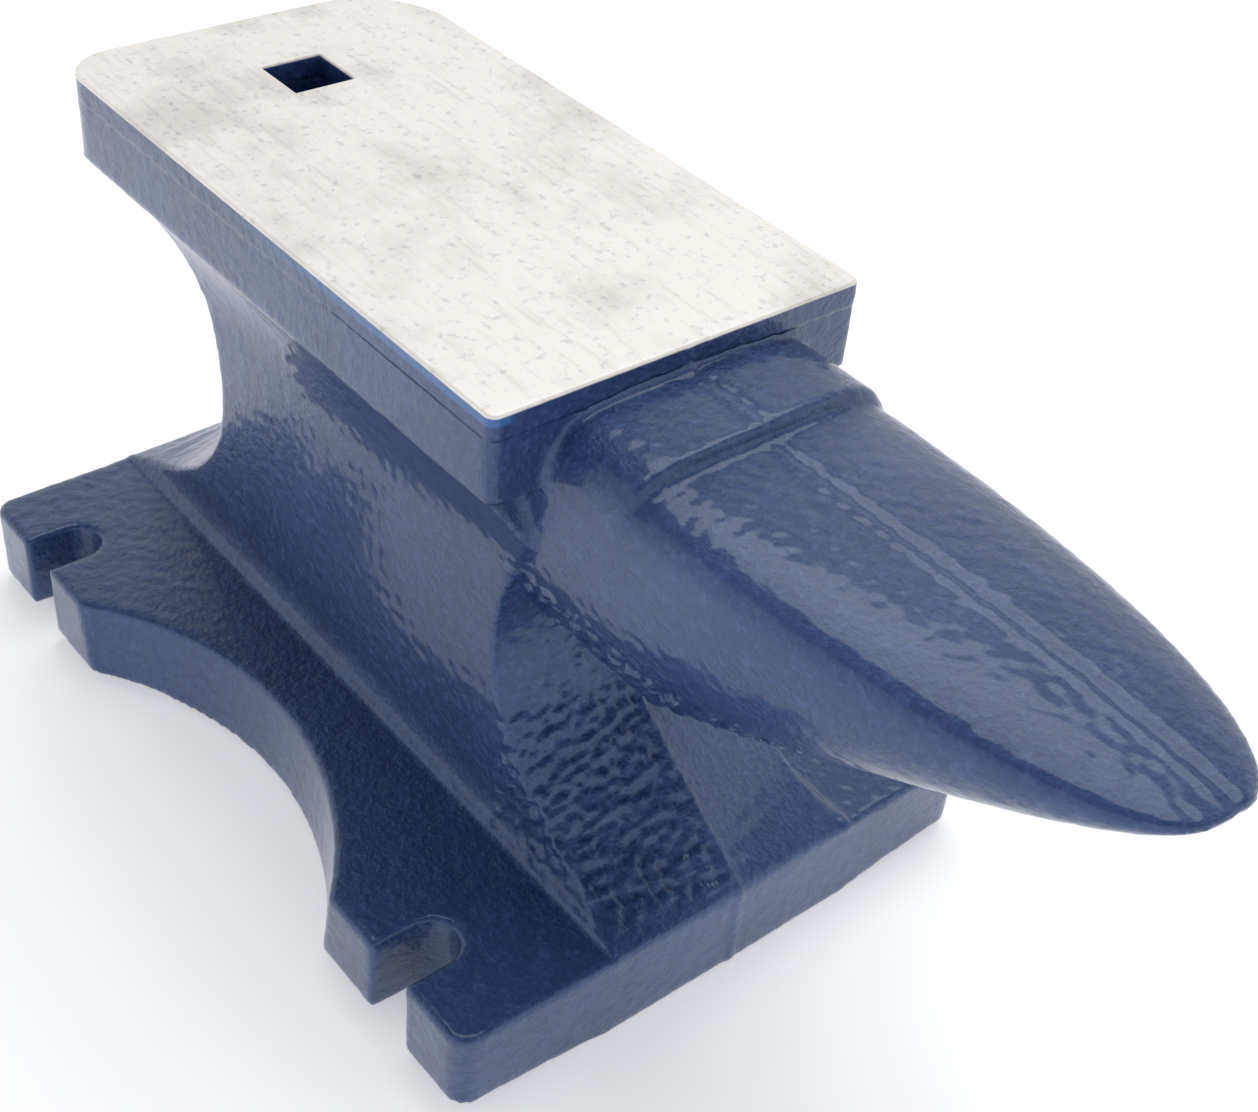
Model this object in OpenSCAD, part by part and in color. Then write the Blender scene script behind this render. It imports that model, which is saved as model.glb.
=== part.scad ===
// Single horn anvil: a cast body with a ground steel face, a cutting table and a flat-topped horn.
// Origin: centre of the base on the ground. +X points along the horn and +Z is up.
// The casting parts along the plane y = 0. The two sides are drafted away from that plane.

/* [Face] */
// Length of the ground face from the heel to the table
face_len = 207; // [190:1:240]
// Width of the ground face
face_w = 112; // [96:1:124]
// Distance from the middle of the base to the front edge of the face
face_front = 89; // [86:1:100]
// Thickness of the steel face plate, which is also the step down to the table
plate_t = 7; // [4:0.5:12]
// Plan radius of the heel corner on the near side
near_r = 15; // [4:1:24]
// Plan radius of the heel corner on the far side
far_r = 28; // [4:1:40]
// Plan radius of the two front corners
front_r = 3; // [1:0.5:8]
// Side of the square hardy hole
hardy = 19; // [12:0.5:24]
// Distance from the heel edge to the middle of the hardy hole
hardy_inset = 40.5; // [34:0.5:46]

/* [Upper body] */
// Depth of the upper body under the face plate
block_t = 17.7; // [10:0.1:30]

/* [Waist] */
// Height of the waist from the base to the upper body
waist_h = 123.5; // [112:0.5:140]
// Half width of the waist where its sides are upright
waist_half = 38; // [30:0.5:40]
// Half width of the waist where it meets the base
root_half = 41; // [40.5:0.5:48]
// Height of the small fillet above the base
root_h = 9; // [4:0.5:16]
// Height below the upper body at which the sides begin to flare
flare_h = 40; // [30:1:55]
// Half length of the waist at its narrowest
throat_half = 69.5; // [64:0.5:76]
// Height of the narrowest point above the base
throat_h = 60; // [54:1:66]
// Radius of the upper end sweep
throat_r = 66; // [62:1:80]
// Reach of the lower end sweep
sweep_reach = 78; // [66:1:84]
// Run of the straight lower ridge for each millimetre that it rises
ridge_run = 1.37; // [1.2:0.01:1.6]
// How far the ridge on the parting plane stands out of the end sweep
ridge_out = 6; // [2:0.5:10]

/* [Base] */
// Length of the base on the parting plane
base_len = 263.6; // [250:0.2:290]
// Width of the base over the feet
base_w = 179; // [170:1:200]
// Thickness of the base
base_t = 28.5; // [20:0.5:36]
// Draft of the base ends, from the parting plane to the feet
end_draft = 1.8; // [0.2:0.1:3]
// How far the underside is relieved along the outer edges of the feet
relief = 3.5; // [0.5:0.1:4]
// Half width of the flat that the base stands on
stand_half = 45; // [30:1:60]
// Plan radius of the corners of the feet
foot_r = 6; // [2:0.5:10]
// Radius of the hollow between the feet, at the top of the base
hollow_r = 107; // [100:1:120]
// Distance from the middle of the base to the hollow, at its top
hollow_y = 62.6; // [60:0.2:72]
// Draft of the hollow's wall
hollow_draft = 3; // [0:0.5:6]
// Width of the four hold-down notches
notch_w = 15; // [10:0.5:18]
// Length of the notches from the edge of the foot
notch_len = 20.5; // [16:0.5:26]
// Distance from the middle of the base to the notches
notch_x = 98.5; // [94:0.5:104]

/* [Horn] */
// Length of the cutting table
table_len = 27; // [18:1:36]
// Step down from the table to the horn
table_step = 4; // [2:0.5:6]
// Length of the horn from the table to the tip
horn_len = 135; // [100:1:180]
// Half width of the table and of the horn at its root
horn_half = 40; // [39:0.5:44]
// Depth of the horn at its root
horn_depth = 77; // [66:1:84]
// How far the tip lies below the top of the horn
tip_drop = 5; // [2:0.5:8]

/* [Hidden] */
paint = [0.10, 0.15, 0.35];
steel = [0.87, 0.86, 0.84];
$fn = 96;

// Levels of the joints between the pieces
block_z = base_t + waist_h;
plate_z = block_z + block_t;
horn_z = plate_z - table_step;
heel_x = face_front - face_len;
table_front = face_front + table_len;
hardy_x = heel_x + hardy_inset;

// How far a cut runs past the solid that it cuts
past = 1;
// How far the horn's root reaches back into the end of the waist
root_back = 30;
// Squareness of the upper corners of the horn's root, of the table and of the tip
root_square = 8;
table_square = 5;
tip_square = 3;
// Levels up the waist, stations along the horn and points round a quarter of its section
waist_levels = 44;
table_stations = 6;
horn_stations = 36;
quarter = 12;
// Share of the horn's depth that tapers evenly, with the rest in the blunt nose
taper = 0.85;
// Height at which the horn is widest, as a share of its depth below the top
widest = 0.28;

// A closed skin over rings of points that all have the same count
module loft(rings) {
    n = len(rings[0]);
    last = len(rings) - 1;
    sides = [for (i = [0:last - 1], j = [0:n - 1])
        let (a = i * n + j, b = i * n + (j + 1) % n)
        each [[a, a + n, b], [a + n, b + n, b]]];
    start = [for (j = [0:n - 1]) j];
    finish = [for (j = [n - 1:-1:0]) last * n + j];
    polyhedron(points = [for (r = rings) each r], faces = concat([start], sides, [finish]));
}

// Outline of the face: a rectangle whose corners are arcs of their own radii
module face_outline() {
    half = face_w / 2;
    corners = [[heel_x, -half, 1, 1, near_r], [face_front, -half, -1, 1, front_r],
               [face_front, half, -1, -1, front_r], [heel_x, half, 1, -1, far_r]];
    polygon([for (i = [0:3])
        let (c = corners[i], r = c[4],
             along = [c[0] + c[2] * r, c[1]],
             across = [c[0], c[1] + c[3] * r])
        each (i % 2 == 0 ? [across, along] : [along, across])]);
    for (c = corners)
        translate([c[0] + c[2] * c[4], c[1] + c[3] * c[4]]) circle(r = c[4]);
}

module hardy_hole(low, high) {
    translate([hardy_x - hardy / 2, -hardy / 2, low]) cube([hardy, hardy, high - low]);
}

// Outline of the base: the ends are drafted away from the parting plane
module base_outline() {
    half_l = base_len / 2;
    half_w = base_w / 2;
    slant = sqrt(half_w * half_w + end_draft * end_draft);
    cy = half_w - foot_r;
    cx = half_l - (foot_r * slant + end_draft * cy) / half_w;
    touch = [cx + foot_r * half_w / slant, cy + foot_r * end_draft / slant];
    side = [[half_l, 0], touch, [cx, half_w]];
    polygon(concat(side, [for (i = [2:-1:0]) [-side[i][0], side[i][1]]],
                   [for (i = [1:2]) [-side[i][0], -side[i][1]]],
                   [for (i = [2:-1:1]) [side[i][0], -side[i][1]]]));
    for (sx = [-1, 1], sy = [-1, 1])
        translate([sx * cx, sy * cy]) circle(r = foot_r);
}

module notch() {
    inner = base_w / 2 - notch_len + notch_w / 2;
    translate([notch_x, inner, -past]) cylinder(d = notch_w, h = base_t + 2 * past);
    translate([notch_x - notch_w / 2, inner, -past]) cube([notch_w, notch_len, base_t + 2 * past]);
}

// The wedge that relieves one long side of the underside
module underside_relief() {
    wide = base_w / 2 - stand_half;
    rotate([90, 0, 90]) translate([0, 0, -base_len])
        linear_extrude(2 * base_len)
            polygon([[stand_half, 0], [stand_half + 2 * wide, 2 * relief],
                     [stand_half + 2 * wide, -base_t], [stand_half, -base_t]]);
}

module base() {
    color(paint) difference() {
        linear_extrude(base_t) base_outline();
        for (sy = [-1, 1])
            translate([0, sy * (hollow_y + hollow_r), 0])
                cylinder(r1 = hollow_r - hollow_draft, r2 = hollow_r, h = base_t, $fn = 180);
        for (mx = [0, 1], my = [0, 1])
            mirror([mx, 0, 0]) mirror([0, my, 0]) notch();
        for (my = [0, 1])
            mirror([0, my, 0]) underside_relief();
    }
}

// Half width of the waist at height h above the base: a fillet, an upright part and a flare
function side_y(h) =
    let (out = face_w / 2 - waist_half,
         r = (flare_h * flare_h + out * out) / (2 * out),
         rise = h - (waist_h - flare_h))
    h < root_h ? waist_half + (root_half - waist_half) * pow(1 - h / root_h, 2) :
    rise < 0 ? waist_half :
    waist_half + r - sqrt(r * r - rise * rise);

// Half length of the waist at its corners at height h: an ellipse below the throat, an arc above it
function end_x(h) =
    let (low = (throat_h - h) / (throat_h + 0.5), high = min(h - throat_h, throat_r - 6))
    h < throat_h ?
        min(base_len / 2 - end_draft, throat_half + sweep_reach * (1 - sqrt(1 - low * low))) :
        throat_half + throat_r - sqrt(throat_r * throat_r - high * high);

// Half length of the waist on the parting plane at height h: a straight ridge runs out to the base
function ridge_x(h) = max(base_len / 2 - ridge_run * h, min(base_len / 2, end_x(h) + ridge_out));

module waist() {
    rings = [for (i = [0:waist_levels])
        let (h = waist_h * i / waist_levels, y = side_y(h), e = end_x(h), r = ridge_x(h),
             front_e = h > throat_h ? min(e, face_front + horn_half - y) : e,
             front_r = h > throat_h ? min(r, face_front - 2) : r)
        [for (p = [[front_r, 0], [front_e, y], [-e, y], [-r, 0], [-e, -y], [front_e, -y]])
            [p[0], p[1], base_t + h]]];
    color(paint) difference() {
        union() {
            loft(rings);
            horn_body(face_front - root_back, face_front, plate_z, root_square, block_z);
        }
        hardy_hole(base_t + throat_h, block_z + past);
    }
}

module upper_body() {
    color(paint) difference() {
        translate([0, 0, block_z]) linear_extrude(block_t) face_outline();
        hardy_hole(block_z - past, plate_z + past);
    }
}

module face_plate() {
    color(steel) difference() {
        translate([0, 0, plate_z]) linear_extrude(plate_t) face_outline();
        hardy_hole(plate_z - past, plate_z + plate_t + past);
    }
}

// How far along the horn x lies, from 0 at the table to 1 at the tip
function along(x) = max(0, (x - table_front) / horn_len);

// Half width of the horn at x
function horn_y(x) = horn_half * pow(1 - pow(along(x), 1.8), 0.41);

// Depth of the horn below its top at x: an even taper and a blunt nose
function horn_d(x) =
    horn_depth * (taper * (1 - along(x)) + (1 - taper) * sqrt(1 - pow(along(x), 2)));

// Sign-keeping power, for the flattened curves of the horn's section
function spow(v, e) = sign(v) * pow(abs(v), e);

// A ring of the horn at x: flat above with corners of the given squareness, round below
function horn_ring(x, top, square) =
    let (w = horn_y(x), d = horn_d(x), droop = tip_drop * pow(along(x), 4),
         wide_z = horn_z - droop - widest * d, up = top - droop - wide_z, down = (1 - widest) * d)
    [for (i = [0:4 * quarter - 1])
        let (a = 90 * (i + 0.5) / quarter, c = cos(a), s = sin(a))
        s > 0 ? [x, w * spow(c, 2 / square), wide_z + up * spow(s, 2 / square)] :
                [x, w * spow(c, 0.9), wide_z + down * spow(s, 0.9)]];

module horn_body(x0, x1, top, square, limit) {
    steps = 8;
    intersection() {
        loft([for (i = [0:steps]) horn_ring(x0 + (x1 - x0) * i / steps, top, square)]);
        translate([x0 - 1, -face_w, base_t]) cube([x1 - x0 + 2, 2 * face_w, limit - base_t]);
    }
}

module cutting_table() {
    color(paint) loft([for (i = [0:table_stations])
        horn_ring(face_front + table_len * i / table_stations, plate_z, table_square)]);
}

module horn() {
    color(paint) loft([for (i = [0:horn_stations])
        let (t = sin(90 * i / horn_stations) * 0.9985)
        horn_ring(table_front + horn_len * t, horn_z, table_square + (tip_square - table_square) * t)]);
}

base();
waist();
upper_body();
face_plate();
cutting_table();
horn();
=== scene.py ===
"""Single horn anvil: a rough-cast body under gloss blue paint, with a ground steel face."""

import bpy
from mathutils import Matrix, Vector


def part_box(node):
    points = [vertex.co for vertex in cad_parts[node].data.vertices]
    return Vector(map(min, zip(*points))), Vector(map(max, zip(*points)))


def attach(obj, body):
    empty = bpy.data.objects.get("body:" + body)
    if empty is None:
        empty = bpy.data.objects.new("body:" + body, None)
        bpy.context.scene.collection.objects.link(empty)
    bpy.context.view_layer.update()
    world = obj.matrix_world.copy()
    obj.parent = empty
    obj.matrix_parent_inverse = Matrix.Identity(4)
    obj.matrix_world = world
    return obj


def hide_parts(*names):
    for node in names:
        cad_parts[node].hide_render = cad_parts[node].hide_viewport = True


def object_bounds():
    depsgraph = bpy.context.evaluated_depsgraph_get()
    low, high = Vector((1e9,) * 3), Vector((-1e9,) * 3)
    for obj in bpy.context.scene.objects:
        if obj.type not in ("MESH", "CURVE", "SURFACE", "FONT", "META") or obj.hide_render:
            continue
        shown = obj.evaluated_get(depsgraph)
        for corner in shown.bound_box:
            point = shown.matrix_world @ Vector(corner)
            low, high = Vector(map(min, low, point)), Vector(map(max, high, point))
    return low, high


bl_info = {
    "name": "Single Horn Anvil",
    "version": (1, 0, 0),
    "blender": (4, 5, 0),
    "location": "View3D > Sidebar > Anvil",
    "description": "Builds a painted cast anvil with a ground face on a pale studio floor",
    "category": "Add Mesh",
}

import math

import bmesh
import bpy
import numpy as np
from mathutils import Matrix, Vector

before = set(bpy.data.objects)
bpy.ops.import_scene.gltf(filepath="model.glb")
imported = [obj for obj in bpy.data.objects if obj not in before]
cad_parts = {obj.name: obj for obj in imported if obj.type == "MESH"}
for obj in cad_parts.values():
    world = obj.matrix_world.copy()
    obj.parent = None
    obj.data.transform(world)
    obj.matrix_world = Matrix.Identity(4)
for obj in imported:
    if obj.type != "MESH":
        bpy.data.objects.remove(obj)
CAD_LOW, CAD_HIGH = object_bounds()

# Lengths are in metres, apart from those whose names end in mm or px
PAINTED = ["base", "waist", "upper_body", "cutting_table", "horn"]
BASE_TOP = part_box("base")[1].z
BLOCK_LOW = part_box("upper_body")[0].z
PLATE_LOW, PLATE_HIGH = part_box("face_plate")[0].z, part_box("face_plate")[1].z
HEEL_X, FACE_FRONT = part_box("face_plate")[0].x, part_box("face_plate")[1].x
FACE_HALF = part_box("face_plate")[1].y
TABLE_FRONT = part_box("cutting_table")[1].x

# Distance from the heel's edge to the middle of the square hardy hole, and half its side
HARDY_INSET, HARDY_HALF = 0.0405, 0.0095
HARDY_X = HEEL_X + HARDY_INSET
# Plan radii of the face's corners: near and far at the heel, and both at the front
HEEL_NEAR_R, HEEL_FAR_R, FRONT_R = 0.015, 0.028, 0.003
# Half the width of the waist where it meets the base
WAIST_ROOT = 0.041
QUARTER = 0.5 * math.pi

# The skins are cut a little past the joints, so that a flat that lies in a joint stays whole. The front
# cut lies nearer, so that no gap shows between the table and the face. The cut under the face plate lies
# in its joint
PAST_JOINT, PAST_FRONT = 0.001, 0.0003
BASE_CUT = BASE_TOP + PAST_JOINT
FRONT_CUT = FACE_FRONT + PAST_FRONT
TABLE_CUT = TABLE_FRONT + PAST_JOINT
BLOCK_CUT = BLOCK_LOW - PAST_JOINT
# In front of the front cut this height is clear air, above the lower end sweep and below the horn's root
CLEAR_HEIGHT = 0.070
# Axis and place of each plane that cuts the skins, in the order of the cuts
X_AXIS, Z_AXIS = 0, 2
BASE_PLANE = (Z_AXIS, BASE_CUT)
FRONT_PLANE = (X_AXIS, FRONT_CUT)
TABLE_PLANE = (X_AXIS, TABLE_CUT)
BLOCK_PLANE = (Z_AXIS, BLOCK_CUT)
PLATE_PLANE = (Z_AXIS, PLATE_LOW)
JOINTS = (BASE_PLANE, FRONT_PLANE, TABLE_PLANE, BLOCK_PLANE, PLATE_PLANE)
# A cut takes in faces this near its plane, and a point this near a plane counts as in it
CUT_REACH, IN_PLANE = 0.006, 1e-5
# Points of a copied solid that are nearer to each other than this are one
SOLID_MERGE = 1e-6
# A point that is nearer to a plane than this when the plane cuts is taken as on it
CUT_SNAP = 1e-7

# Seeds of the sand grain, of the wider swell under it and of the scabs
GRAIN_SEED, SWELL_SEED, SCAB_SEED = 3, 4, 5
# Width and height of the swell, as multiples of the grain's
SWELL_WIDTH, SWELL_HEIGHT = 3, 0.3
# Width of the scabs, and their height as a multiple of the grain's
SCAB_WIDTH, SCAB_HEIGHT = 0.0036, 11.0
# The scabs lie on the near half of the front end, on the end sweep and on the belly over it. They grow over
# the first span along x, over the second towards the near side and over SCAB_RISE above the base, and they
# fade out over the last going up
SCAB_FROM_X, SCAB_FROM_MIDDLE, SCAB_RISE, SCAB_UNTIL_Z = (0.070, 0.076), (0.0, 0.002), 0.004, (0.115, 0.125)
# The bead along the crease between base and waist: its width, its reach up and down, and its height as a
# multiple of the flash's
BEAD_WIDTH, BEAD_REACH, BEAD_HEIGHT = 0.0010, 0.003, 1.3
# Width of the flash on the parting plane, and the share of its height that it loses on the table and horn
FLASH_WIDTH, FLASH_LOSS = 0.0011, 0.3
# From the table to the tip the far mould half stands proud, by this multiple of the flash's height. That
# grows over PROUD_RUN past the face, and over the two spans in height and towards the far side
PROUD_HEIGHT, PROUD_RUN, PROUD_FROM_Z, PROUD_FROM_MIDDLE = 1.6, 0.004, (0.120, 0.150), (0.001, 0.005)

# The face's outline has a point about every step, and at least so many on each corner's arc
OUTLINE_STEP, LEAST_ARC_POINTS = 0.0009, 8
# Rows of points on the wall of the hardy hole, over the top, round the edge and down the side. The last two
# counts take in the row that they start from, which the part before has made
WALL_ROWS, TOP_ROWS, EDGE_ROWS, SIDE_ROWS = 6, 90, 7, 7
# The rows over the top follow this power of their share, which sets them closer at the hole
TOP_POWER = 1.1
# The two rows underneath, as shares of the way in from the side
UNDER_SHARES = (0.34, 0.67)
# The hole's lip is this share wider than the hole, and its wall ends this far below the face
LIP_SHARE, LIP_DROP = 0.03, 0.0003
# Depths below the face between which the cast grain sets in on the plate's sides. A point is on the sides
# if it is nearer to the outline than this share of the edge's radius
SIDE_GRAIN_DEPTHS, ON_SIDE = (0.0002, 0.0015), 0.5

# Depths below the face between which the paint of the sides gives way to bare steel
STEEL_FROM, STEEL_FULL = 0.0010, 0.0005
# Painted highlight: brighter blue paint under the near edge of the face. It grows between these depths,
# gives way between these distances in from the near side, and grows from the heel's distance up to the
# front's
HIGHLIGHT_DEPTHS, HIGHLIGHT_IN, HIGHLIGHT_HEEL, HIGHLIGHT_FRONT = (0.0034, 0.0026), (0.004, 0.008), 0.06, 0.02
# The grinding marks run along the face and are so many times as long as they are wide. A Mapping node
# turns after it scales, so the turn changes where they fall and not their direction
MARK_STRETCH, MARK_TURN = 9, 0.55

# A Mix node has inputs and an output for each kind of value: these are the colours'
MIX_FIRST, MIX_SECOND, MIX_OUT = 6, 7, 2


class AnvilCast(bpy.types.PropertyGroup):
    """Sizes of the cast skin"""

    spacing: bpy.props.FloatProperty(
        name="Skin spacing",
        description="Distance between the points of the skin",
        default=0.0012,
        min=0.0009,
        max=0.004,
        subtype="DISTANCE",
        unit="LENGTH",
    )
    rounding: bpy.props.IntProperty(
        name="Edge rounding",
        description="Passes that round the cast edges",
        default=2,
        min=0,
        max=20,
    )
    grain_width: bpy.props.FloatProperty(
        name="Grain width",
        description="Distance between the lumps left by the sand mould",
        default=0.0038,
        subtype="DISTANCE",
        unit="LENGTH",
    )
    grain_height: bpy.props.FloatProperty(
        name="Grain height",
        description="Typical height of the lumps left by the sand mould",
        default=0.00004,
        subtype="DISTANCE",
        unit="LENGTH",
    )
    flash_height: bpy.props.FloatProperty(
        name="Flash height",
        description="Height of the line that the mould halves leave on the parting plane",
        default=0.0004,
        subtype="DISTANCE",
        unit="LENGTH",
    )


class AnvilPaint(bpy.types.PropertyGroup):
    """Colours and gloss of the paint"""

    deep: bpy.props.FloatVectorProperty(
        name="Deep blue",
        description="Colour of the paint where it lies thick",
        default=(0.012, 0.024, 0.105),
        min=0.0,
        max=1.0,
        subtype="COLOR",
    )
    # Lighter blue on the high spots of the grain and in wide clouds: partly thinner paint, partly a painted
    # highlight on the raised spots
    thin_and_highlight_blue: bpy.props.FloatVectorProperty(
        name="Thin blue",
        description="Colour of the paint on the high spots of the casting",
        default=(0.050, 0.090, 0.250),
        min=0.0,
        max=1.0,
        subtype="COLOR",
    )
    # Painted highlight: the brighter blue along the upper part of the plate's near side
    bright: bpy.props.FloatVectorProperty(
        name="Bright blue",
        description="Colour of the paint left along the edge of the face",
        default=(0.035, 0.13, 0.36),
        min=0.0,
        max=1.0,
        subtype="COLOR",
    )
    gloss: bpy.props.FloatProperty(
        name="Roughness",
        description="Roughness of the paint's surface",
        default=0.14,
        min=0.0,
        max=1.0,
    )


class AnvilFace(bpy.types.PropertyGroup):
    """Sizes and colours of the ground face"""

    edge: bpy.props.FloatProperty(
        name="Edge radius",
        description="Radius along the edge of the face",
        default=0.0009,
        subtype="DISTANCE",
        unit="LENGTH",
    )
    steel: bpy.props.FloatVectorProperty(
        name="Steel",
        description="Colour of the ground steel",
        default=(0.97, 0.925, 0.880),
        min=0.0,
        max=1.0,
        subtype="COLOR",
    )
    stain: bpy.props.FloatVectorProperty(
        name="Stain",
        description="Colour of the dull patches on the face",
        default=(0.52, 0.490, 0.455),
        min=0.0,
        max=1.0,
        subtype="COLOR",
    )


class Term:
    """A socket that is worked with as a number: arithmetic on it adds Math nodes."""

    def __init__(self, shader, out):
        self.shader = shader
        self.out = out

    def maths(self, operation, first, second):
        """Adds the Math node for one operation on two terms or numbers."""
        return self.shader.node("ShaderNodeMath", {"operation": operation}, {0: first, 1: second})

    def __add__(self, other):
        return self.maths("ADD", self, other)

    def __radd__(self, other):
        return self.maths("ADD", other, self)

    def __sub__(self, other):
        return self.maths("SUBTRACT", self, other)

    def __rsub__(self, other):
        return self.maths("SUBTRACT", other, self)

    def __mul__(self, other):
        return self.maths("MULTIPLY", self, other)

    def __rmul__(self, other):
        return self.maths("MULTIPLY", other, self)


class Shader:
    """The nodes of one material or world, emptied first."""

    def __init__(self, owner):
        owner.use_nodes = True
        self.tree = owner.node_tree
        self.tree.nodes.clear()

    def node(self, kind, settings=None, values=None, out=0):
        """Adds a node: its settings come first, then the values or links of its sockets."""
        made = self.tree.nodes.new(kind)
        for name, value in (settings or {}).items():
            setattr(made, name, value)
        for key, value in (values or {}).items():
            if isinstance(value, Term):
                self.tree.links.new(value.out, made.inputs[key])
            else:
                made.inputs[key].default_value = value
        return Term(self, made.outputs[out]) if len(made.outputs) else made

    def place(self):
        """The point being shaded, in the piece's own coordinates."""
        return self.node("ShaderNodeTexCoord", out="Object")

    def axis(self, vector, name):
        """One coordinate of a vector."""
        return self.node("ShaderNodeSeparateXYZ", values={0: vector}, out=name)

    def noise(self, vector, scale, detail, rough):
        """Cloudy noise between 0 and 1, with about scale lumps to the metre."""
        values = {"Vector": vector, "Scale": scale, "Detail": detail, "Roughness": rough}
        return self.node("ShaderNodeTexNoise", values=values, out="Fac")

    def span(self, value, low, high):
        """0 below low, 1 above high and a smooth rise between them."""
        values = {"Value": value, "From Min": low, "From Max": high}
        return self.node("ShaderNodeMapRange", {"interpolation_type": "SMOOTHSTEP"}, values)

    def blend(self, factor, first, second):
        """The first colour where the factor is 0 and the second where it is 1."""
        values = {"Factor": factor, MIX_FIRST: with_alpha(first), MIX_SECOND: with_alpha(second)}
        return self.node("ShaderNodeMix", {"data_type": "RGBA"}, values, out=MIX_OUT)

    def bump(self, height, strength, distance):
        """The normal over a height, where a height of 1 stands for distance."""
        values = {"Height": height, "Strength": strength, "Distance": distance}
        return self.node("ShaderNodeBump", values=values)

    def finish(self, surface, out="ShaderNodeOutputMaterial"):
        """Links the surface to the material's or the world's output."""
        self.node(out, values={"Surface": surface})


def with_alpha(colour):
    """Three numbers become a colour with an alpha of 1, and a term stays as it is."""
    return (*colour, 1) if isinstance(colour, tuple) else colour


def paint_terms(shader, paint):
    """Colour, roughness and normal of the paint: sand grain shows through as pits and high spots, and the
    high spots are lighter, partly as thinner paint and partly as a painted highlight.
    """
    at = shader.place()
    fine = shader.noise(at, scale=620.0, detail=5.0, rough=0.62)
    pits = shader.noise(at, scale=260.0, detail=3.0, rough=0.5)
    cloud = shader.noise(at, scale=24.0, detail=3.0, rough=0.5)
    grain = fine * 0.6 + pits * 0.4
    # Painted highlight, partly thinner paint: the paint is lighter where the grain's bumps stand highest
    grain_thin_and_highlight = shader.span(grain, low=0.46, high=0.68) * 0.55
    thin_in_clouds = shader.span(cloud, low=0.35, high=0.75) * 0.30
    colour = shader.blend(grain_thin_and_highlight + thin_in_clouds, tuple(paint.deep), tuple(paint.thin_and_highlight_blue))
    rough = paint.gloss + pits * 0.12
    normal = shader.bump(grain, strength=1.0, distance=0.0012)
    return colour, rough, normal


def paint_surface(shader, terms):
    """Blue paint with a blue sheen, under a clear coat."""
    colour, rough, normal = terms
    values = {
        "Base Color": colour,
        "Roughness": rough,
        "Normal": normal,
        "IOR": 1.6,
        "Specular IOR Level": 0.7,
        "Specular Tint": (0.34, 0.55, 1.0, 1),
        "Coat Weight": 0.60,
        "Coat Roughness": 0.10,
    }
    return shader.node("ShaderNodeBsdfPrincipled", values=values)


def paint_material(paint):
    """The paint of the cast body."""
    material = bpy.data.materials.new("gloss_blue_paint")
    shader = Shader(material)
    shader.finish(paint_surface(shader, paint_terms(shader, paint)))
    return material


def painted_highlight_band(shader, at, height):
    """1 where a painted highlight makes the paint brighter, along the near edge of the face, and 0
    elsewhere.
    """
    deep, shallow = HIGHLIGHT_DEPTHS
    under_face = shader.span(height, PLATE_HIGH - deep, PLATE_HIGH - shallow)
    outer, inner = HIGHLIGHT_IN
    past_side = shader.span(shader.axis(at, "Y"), outer - FACE_HALF, inner - FACE_HALF)
    forward = shader.span(shader.axis(at, "X"), HEEL_X + HIGHLIGHT_HEEL, FACE_FRONT - HIGHLIGHT_FRONT)
    return under_face * (1.0 - past_side) * forward


def steel_surface(shader, at, face):
    """Bare steel, dulled in patches, along the grinding marks and in specks."""
    lengthwise = {0: at, "Rotation": (0, 0, MARK_TURN), "Scale": (1, MARK_STRETCH, 1)}
    stretched = shader.node("ShaderNodeMapping", values=lengthwise)
    marks = shader.noise(stretched, scale=46.0, detail=6.0, rough=0.65)
    patches = shader.noise(at, scale=21.0, detail=5.0, rough=0.62)
    specks = shader.noise(at, scale=420.0, detail=3.0, rough=0.6)
    dull_patches = shader.span(patches, low=0.46, high=0.68) * 0.42
    dull_marks = shader.span(marks, low=0.50, high=0.72) * 0.26
    dull_specks = shader.span(specks, low=0.57, high=0.70) * 0.42
    dull = dull_patches + dull_marks + dull_specks
    values = {
        "Base Color": shader.blend(dull, tuple(face.steel), tuple(face.stain)),
        "Roughness": 0.42 + marks * 0.16,
        "Metallic": 0.35,
        "Normal": shader.bump(marks * 0.7 + specks * 0.3, strength=0.22, distance=0.0004),
    }
    return shader.node("ShaderNodeBsdfPrincipled", values=values)


def face_material(paint, face):
    """Ground steel on top, with grinding marks and dull patches, and paint down the sides, with a painted
    highlight along the near side's upper edge.
    """
    material = bpy.data.materials.new("ground_face")
    shader = Shader(material)
    at = shader.place()
    height = shader.axis(at, "Z")
    colour, rough, normal = paint_terms(shader, paint)
    # Painted highlight: brighter blue along the upper part of the near side
    colour = shader.blend(painted_highlight_band(shader, at, height), colour, tuple(paint.bright))
    painted = paint_surface(shader, (colour, rough, normal))
    bare = steel_surface(shader, at, face)
    ground = shader.span(height, PLATE_HIGH - STEEL_FROM, PLATE_HIGH - STEEL_FULL)
    shader.finish(shader.node("ShaderNodeMixShader", values={0: ground, 1: painted, 2: bare}))
    return material


def wave_field(points, width, seed, count=48, spread=(0.7, 1.6)):
    """Sum of count plane waves cos(k.p + phase) in random directions, scaled so that its standard deviation
    is 1. The wavelengths are width times a random factor within spread."""
    rng = np.random.default_rng(seed)
    way = rng.normal(size=(count, 3))
    way /= np.linalg.norm(way, axis=1)[:, None]
    pitch = width * rng.uniform(*spread, count)
    phase = rng.uniform(0, 2 * np.pi, count)
    angle = points @ (way * (2 * np.pi / pitch)[:, None]).T + phase
    return np.cos(angle).sum(axis=1) * math.sqrt(2 / count)


def smooth_step(value, low, high):
    """3t^2 - 2t^3 of t, the share of the way from low to high."""
    t = np.clip((value - low) / (high - low), 0, 1)
    return t * t * (3 - 2 * t)


def line_profile(distance, width):
    """exp(-(distance / width)^2): 1 on a line, falling off smoothly to both sides."""
    return np.exp(-((distance / width) ** 2))


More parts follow.
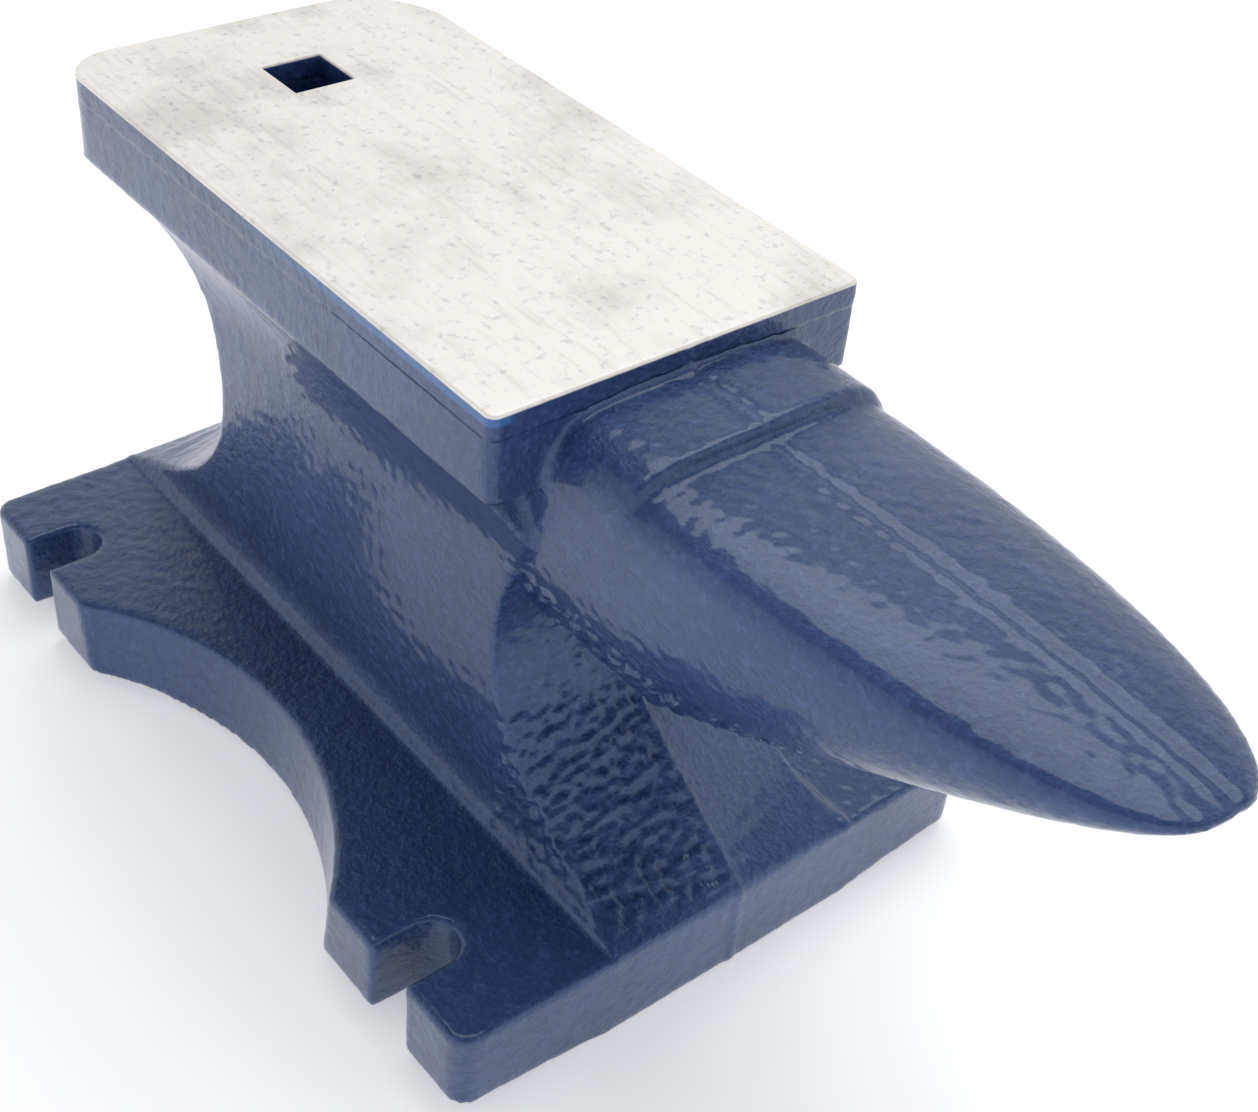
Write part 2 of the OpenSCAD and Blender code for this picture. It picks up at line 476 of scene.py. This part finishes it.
def cast_height(points, cast):
    """Height of the cast surface over the true one: sand grain everywhere, coarse scabs on the near half
    of the front end, a bead in the crease of the base, a thin line of flash at y = 0 and, from the table
    to the tip, the far mould half proud."""
    x, y, z = points.T
    height = cast.grain_height * wave_field(points, cast.grain_width, GRAIN_SEED)
    swell = wave_field(points, SWELL_WIDTH * cast.grain_width, SWELL_SEED)
    height += SWELL_HEIGHT * cast.grain_height * swell
    scabs = smooth_step(x, *SCAB_FROM_X) * smooth_step(z, BASE_TOP, BASE_TOP + SCAB_RISE)
    scabs *= smooth_step(-z, -SCAB_UNTIL_Z[1], -SCAB_UNTIL_Z[0]) * smooth_step(-y, *SCAB_FROM_MIDDLE)
    height += SCAB_HEIGHT * cast.grain_height * scabs * wave_field(points, SCAB_WIDTH, SCAB_SEED)
    bead = line_profile(np.abs(y) - WAIST_ROOT, BEAD_WIDTH) * (np.abs(z - BASE_TOP) < BEAD_REACH)
    height += BEAD_HEIGHT * cast.flash_height * bead
    proud = smooth_step(x, FACE_FRONT, FACE_FRONT + PROUD_RUN) * smooth_step(z, *PROUD_FROM_Z)
    height += cast.flash_height * (1.0 - FLASH_LOSS * proud) * line_profile(y, FLASH_WIDTH)
    height += PROUD_HEIGHT * cast.flash_height * proud * smooth_step(y, *PROUD_FROM_MIDDLE)
    return height


def read_vectors(items, attribute):
    """A mesh's points or normals, one to a row."""
    flat = np.empty(len(items) * 3)
    items.foreach_get(attribute, flat)
    return flat.reshape(-1, 3)


def inside_box(points):
    """The points, held inside the CAD model's box."""
    return np.clip(points, np.array(CAD_LOW), np.array(CAD_HIGH))


def joined_solids():
    """One mesh of all the solids, each a copy whose loose triangles are merged first."""
    joined = bmesh.new()
    for node in [*PAINTED, "face_plate"]:
        solid = bmesh.new()
        solid.from_mesh(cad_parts[node].data)
        bmesh.ops.remove_doubles(solid, verts=solid.verts, dist=SOLID_MERGE)
        copy = bpy.data.meshes.new("solid_copy")
        solid.to_mesh(copy)
        solid.free()
        joined.from_mesh(copy)
        bpy.data.meshes.remove(copy)
    mesh = bpy.data.meshes.new("joined_copy")
    joined.to_mesh(mesh)
    joined.free()
    return mesh


def whole_skin(cast):
    """One skin over all the solids, meshed evenly, rounded, and moved along its normals by the cast
    height. It isn't a grid of two parameters, because the casting's surface runs on smoothly from piece
    to piece, and a grid for each piece would show a seam at every joint."""
    mesh = joined_solids()
    helper = bpy.data.objects.new("skin_helper", mesh)
    bpy.context.scene.collection.objects.link(helper)
    even = helper.modifiers.new("even", "REMESH")
    even.mode = "VOXEL"
    even.voxel_size = cast.spacing
    rounded = helper.modifiers.new("rounded", "SMOOTH")
    rounded.iterations = cast.rounding
    graph = bpy.context.evaluated_depsgraph_get()
    skin = bpy.data.meshes.new_from_object(helper.evaluated_get(graph))
    bpy.data.objects.remove(helper)
    bpy.data.meshes.remove(mesh)
    points = read_vectors(skin.vertices, "co")
    points += read_vectors(skin.vertex_normals, "vector") * cast_height(points, cast)[:, None]
    skin.vertices.foreach_set("co", inside_box(points).ravel())
    skin.update()
    return skin


def owner(centre):
    """The piece whose region holds a point of the skin."""
    if centre.z < BASE_CUT:
        return "base"
    if centre.x > FRONT_CUT and centre.z > CLEAR_HEIGHT:
        return "cutting_table" if centre.x < TABLE_CUT else "horn"
    if centre.z < BLOCK_CUT:
        return "waist"
    return "upper_body" if centre.z < PLATE_LOW else "face_plate"


def is_cut(plane, centre):
    """Whether a plane cuts the skin at a point. The base's cuts everywhere, the upright ones cut the table
    and the horn off the body, and the upper level ones cut only the body behind them."""
    if plane == BASE_PLANE:
        return True
    if plane[0] == X_AXIS:
        return centre.z > CLEAR_HEIGHT
    return centre.x < FRONT_CUT


def slice_skin(skin):
    """Cuts the skin along the joints, each plane through the faces of its own region only."""
    body = bmesh.new()
    body.from_mesh(skin)
    for plane in JOINTS:
        axis, level = plane
        normal = Vector((axis == X_AXIS, 0, axis == Z_AXIS))
        geometry = set()
        for face in body.faces:
            centre = face.calc_center_median()
            if abs(centre[axis] - level) < CUT_REACH and is_cut(plane, centre):
                geometry.update((face, *face.edges, *face.verts))
        bmesh.ops.bisect_plane(
            body, geom=list(geometry), dist=CUT_SNAP, plane_co=normal * level, plane_no=normal
        )
    return body


def in_plane(point, plane):
    """Whether a point of a skin lies in a plane."""
    axis, level = plane
    return abs(point.co[axis] - level) < IN_PLANE


def add_corner(part, first, second):
    """Adds the straight edge inside the body that the caps of two joints share where they meet."""
    shared = [
        v
        for v in part.verts
        if any(e.is_boundary for e in v.link_edges) and in_plane(v, first) and in_plane(v, second)
    ]
    shared.sort(key=lambda v: v.co.y)
    for one, two in zip(shared[::2], shared[1::2]):
        if not any(e.other_vert(one) is two for e in one.link_edges):
            part.edges.new((one, two))


def add_cap(part, plane):
    """Closes a piece with a flat cap where a joint's plane cut it, with a crisp edge round the cap."""
    rim = [e for e in part.edges if len(e.link_faces) < 2 and all(in_plane(v, plane) for v in e.verts)]
    if not rim:
        return
    for edge in rim:
        edge.smooth = False
    made = bmesh.ops.triangle_fill(part, edges=rim, use_beauty=False)["geom"]
    for item in made:
        if isinstance(item, bmesh.types.BMFace):
            item.smooth = False


def piece_skin(body, name):
    """The faces of one piece, closed by flat caps at its joints."""
    part = body.copy()
    strays = [f for f in part.faces if owner(f.calc_center_median()) != name]
    bmesh.ops.delete(part, geom=strays, context="FACES")
    for face in part.faces:
        face.smooth = True
    if name in ("waist", "upper_body"):
        add_corner(part, FRONT_PLANE, BLOCK_PLANE)
    if name == "upper_body":
        add_corner(part, FRONT_PLANE, PLATE_PLANE)
    for plane in JOINTS:
        add_cap(part, plane)
    bmesh.ops.recalc_face_normals(part, faces=part.faces)
    mesh = bpy.data.meshes.new(name + "_skin")
    part.to_mesh(mesh)
    part.free()
    return mesh


def stand_in(name, mesh, material, node):
    """Adds a finished piece that stands for a CAD node."""
    piece = bpy.data.objects.new(name, mesh)
    bpy.context.scene.collection.objects.link(piece)
    mesh.materials.append(material)
    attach(piece, "root")
    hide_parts(node)


def corner_arc(x, y, radius, start):
    """Points of a quarter circle, each its centre plus radius times a direction, and the directions."""
    count = max(LEAST_ARC_POINTS, round(QUARTER * radius / OUTLINE_STEP))
    turn = start + np.linspace(0, QUARTER, count)
    way = np.stack([np.cos(turn), np.sin(turn)], axis=1)
    return np.array([x, y]) + radius * way, way


def face_outline():
    """Points round the face and their outward directions: four corner arcs joined by straight edges."""
    arcs = [
        corner_arc(FACE_FRONT - FRONT_R, FACE_HALF - FRONT_R, FRONT_R, 0.0),
        corner_arc(HEEL_X + HEEL_FAR_R, FACE_HALF - HEEL_FAR_R, HEEL_FAR_R, QUARTER),
        corner_arc(HEEL_X + HEEL_NEAR_R, HEEL_NEAR_R - FACE_HALF, HEEL_NEAR_R, 2 * QUARTER),
        corner_arc(FACE_FRONT - FRONT_R, FRONT_R - FACE_HALF, FRONT_R, 3 * QUARTER),
    ]
    points, ways = [], []
    for i, (arc, way) in enumerate(arcs):
        points.append(arc)
        ways.append(way)
        target = arcs[(i + 1) % len(arcs)][0][0]
        count = max(2, round(np.linalg.norm(target - arc[-1]) / OUTLINE_STEP))
        share = np.arange(1, count)[:, None] / count
        points.append(arc[-1] + share * (target - arc[-1]))
        ways.append(np.repeat(way[-1:], count - 1, axis=0))
    return np.concatenate(points), np.concatenate(ways)


def face_rows(outer, way, edge):
    """Rows of points across the plate's section, each with its height. They climb the wall of the hole,
    run over the top, turn down the rounded edge by its radius times 1 - cos and 1 - sin of the angle, drop
    down the side and come back underneath. The wall's points lie where the rays from the hole's middle to
    the outline cross its square."""
    centre = np.array([HARDY_X, 0.0])
    ray = outer - centre
    inner = centre + ray * (HARDY_HALF / np.abs(ray).max(axis=1))[:, None]
    lip = inner + (inner - centre) * LIP_SHARE
    rim = outer - way * edge
    wall_top = PLATE_HIGH - LIP_DROP
    side_top = PLATE_HIGH - edge
    rows = [(inner, PLATE_LOW + (wall_top - PLATE_LOW) * s) for s in np.linspace(0, 1, WALL_ROWS)]
    rows += [(lip + (rim - lip) * s, PLATE_HIGH) for s in np.linspace(0, 1, TOP_ROWS) ** TOP_POWER]
    for angle in np.linspace(QUARTER, 0, EDGE_ROWS)[1:]:
        out, down = 1 - math.cos(angle), 1 - math.sin(angle)
        rows.append((outer - way * edge * out, PLATE_HIGH - edge * down))
    rows += [(outer, side_top - (side_top - PLATE_LOW) * s) for s in np.linspace(0, 1, SIDE_ROWS)[1:]]
    rows += [(outer + (inner - outer) * s, PLATE_LOW) for s in UNDER_SHARES]
    return rows


def face_grid(face, cast):
    """The plate as a ring swept about the hardy hole: one row of the grid for each row of its section. The
    cast height moves the points of its sides outwards."""
    outer, way = face_outline()
    rows = face_rows(outer, way, face.edge)
    grid = np.stack([np.column_stack([flat, np.full(len(flat), z)]) for flat, z in rows])
    normal = np.column_stack([way, np.zeros(len(way))])
    below_face = smooth_step(PLATE_HIGH - grid[..., 2], *SIDE_GRAIN_DEPTHS)
    on_side = np.linalg.norm(grid[..., :2] - outer, axis=2) < ON_SIDE * face.edge
    height = cast_height(grid.reshape(-1, 3), cast).reshape(grid.shape[:2])
    return grid + normal * (height * (below_face * on_side))[..., None]


def grid_mesh(name, grid):
    """A mesh over a grid of points that closes on itself both ways."""
    rows, columns = grid.shape[:2]
    place = np.arange(rows * columns).reshape(rows, columns)
    below = np.roll(place, -1, axis=0)
    quads = np.stack([place, np.roll(place, -1, axis=1), np.roll(below, -1, axis=1), below], axis=2)
    mesh = bpy.data.meshes.new(name)
    mesh.from_pydata(inside_box(grid.reshape(-1, 3)).tolist(), [], quads.reshape(-1, 4).tolist())
    shell = bmesh.new()
    shell.from_mesh(mesh)
    bmesh.ops.recalc_face_normals(shell, faces=shell.faces)
    shell.to_mesh(mesh)
    shell.free()
    mesh.shade_smooth()
    return mesh


class ANVIL_OT_casting(bpy.types.Operator):
    """Makes the skins of the cast body, one for each of its pieces"""

    bl_idname = "anvil.casting"
    bl_label = "Cast Body"

    def execute(self, context):
        scene = context.scene
        material = paint_material(scene.anvil_paint)
        skin = whole_skin(scene.anvil_cast)
        body = slice_skin(skin)
        for name in PAINTED:
            stand_in(name + "_casting", piece_skin(body, name), material, name)
        body.free()
        bpy.data.meshes.remove(skin)
        return {"FINISHED"}


class ANVIL_OT_face(bpy.types.Operator):
    """Makes the ground steel face with its square hardy hole"""

    bl_idname = "anvil.face"
    bl_label = "Ground Face"

    def execute(self, context):
        scene = context.scene
        mesh = grid_mesh("ground_face", face_grid(scene.anvil_face, scene.anvil_cast))
        material = face_material(scene.anvil_paint, scene.anvil_face)
        stand_in("ground_face", mesh, material, "face_plate")
        return {"FINISHED"}


def add_floor():
    """Adds a plain pale floor under the anvil, with a faint glow that keeps it near white."""
    reach = 6.0
    mesh = bpy.data.meshes.new("floor")
    corners = [(-reach, -reach, 0), (reach, -reach, 0), (reach, reach, 0), (-reach, reach, 0)]
    mesh.from_pydata(corners, [], [(0, 1, 2, 3)])
    floor = bpy.data.objects.new("floor", mesh)
    bpy.context.scene.collection.objects.link(floor)
    material = bpy.data.materials.new("pale_floor")
    shader = Shader(material)
    values = {
        "Base Color": (0.95, 0.95, 0.95, 1),
        "Roughness": 0.9,
        "Specular IOR Level": 0.1,
        "Emission Color": (1, 1, 1, 1),
        "Emission Strength": 0.38,
    }
    shader.finish(shader.node("ShaderNodeBsdfPrincipled", values=values))
    mesh.materials.append(material)


def add_room(scene):
    """Makes the world white round the horizon and darker overhead, as a studio sweep is."""
    horizon, overhead = (1.0, 1.0, 1.0), (0.16, 0.17, 0.19)
    world = bpy.data.worlds.new("studio")
    scene.world = world
    shader = Shader(world)
    up = shader.axis(shader.node("ShaderNodeTexCoord", out="Generated"), "Z")
    colour = shader.blend(shader.span(up, low=0.52, high=0.70), horizon, overhead)
    sky = shader.node("ShaderNodeBackground", values={"Color": colour, "Strength": 1.0})
    shader.finish(sky, "ShaderNodeOutputWorld")


def add_lamp(name, place, size, watts):
    """Adds a round area lamp that faces the origin."""
    lamp = bpy.data.lights.new(name, "AREA")
    lamp.shape = "DISK"
    lamp.size = size
    lamp.energy = watts
    holder = bpy.data.objects.new(name, lamp)
    holder.location = place
    holder.rotation_euler = (-Vector(place)).to_track_quat("-Z", "Y").to_euler()
    bpy.context.scene.collection.objects.link(holder)


def add_camera(scene):
    """Adds the camera of the photograph, solved from the straight edges of the face, the hardy hole and the
    base. Its turn and rise give the direction behind it, and its side and top are rolled about that."""
    place = (0.3619, -0.2592, 0.4122)
    turn, rise, roll = math.radians(47.22), math.radians(38.4), math.radians(5.81)
    film_mm, focal_px, frame_px, centre_px = 36.0, 1914.9, (1258, 1112), (646.7, 555.3)
    back = Vector((math.sin(turn) * math.cos(rise), -math.cos(turn) * math.cos(rise), math.sin(rise)))
    side = Vector((0, 0, 1)).cross(back).normalized()
    top = back.cross(side)
    right = side * math.cos(roll) + top * math.sin(roll)
    up = top * math.cos(roll) - side * math.sin(roll)
    lens = bpy.data.cameras.new("camera")
    lens.sensor_width = film_mm
    lens.lens = film_mm * focal_px / frame_px[0]
    lens.shift_x = (frame_px[0] / 2 - centre_px[0]) / frame_px[0]
    lens.shift_y = (centre_px[1] - frame_px[1] / 2) / frame_px[0]
    camera = bpy.data.objects.new("camera", lens)
    matrix = Matrix((right, up, back)).transposed().to_4x4()
    matrix.translation = Vector(place)
    camera.matrix_world = matrix
    scene.collection.objects.link(camera)
    scene.camera = camera


class ANVIL_OT_stage(bpy.types.Operator):
    """Sets the pale floor, the soft light and the camera"""

    bl_idname = "anvil.stage"
    bl_label = "Stage"

    def execute(self, context):
        add_floor()
        add_room(context.scene)
        add_lamp("overhead_softbox", place=(-0.3, 0.5, 1.6), size=1.3, watts=11.0)
        add_camera(context.scene)
        context.scene.view_settings.view_transform = "Standard"
        return {"FINISHED"}


class ANVIL_PT_panel(bpy.types.Panel):
    """Lists the steps and sizes of the anvil"""

    bl_label = "Single Horn Anvil"
    bl_space_type = "VIEW_3D"
    bl_region_type = "UI"
    bl_category = "Anvil"

    def draw(self, context):
        layout = self.layout
        for group in (context.scene.anvil_cast, context.scene.anvil_paint, context.scene.anvil_face):
            box = layout.box()
            for name in group.__annotations__:
                box.prop(group, name)
        for step in STEPS:
            layout.operator(step.bl_idname)


STEPS = (ANVIL_OT_casting, ANVIL_OT_face, ANVIL_OT_stage)
CLASSES = (AnvilCast, AnvilPaint, AnvilFace, *STEPS, ANVIL_PT_panel)


def register():
    """Registers the classes and hangs the groups of sizes on the scene."""
    for cls in CLASSES:
        bpy.utils.register_class(cls)
    bpy.types.Scene.anvil_cast = bpy.props.PointerProperty(type=AnvilCast)
    bpy.types.Scene.anvil_paint = bpy.props.PointerProperty(type=AnvilPaint)
    bpy.types.Scene.anvil_face = bpy.props.PointerProperty(type=AnvilFace)


def unregister():
    """Takes away what register added, in the opposite order."""
    del bpy.types.Scene.anvil_face
    del bpy.types.Scene.anvil_paint
    del bpy.types.Scene.anvil_cast
    for cls in reversed(CLASSES):
        bpy.utils.unregister_class(cls)


def main():
    """Builds the scene."""
    register()
    bpy.ops.anvil.stage()
    bpy.ops.anvil.casting()
    bpy.ops.anvil.face()


if __name__ == "__main__":
    main()
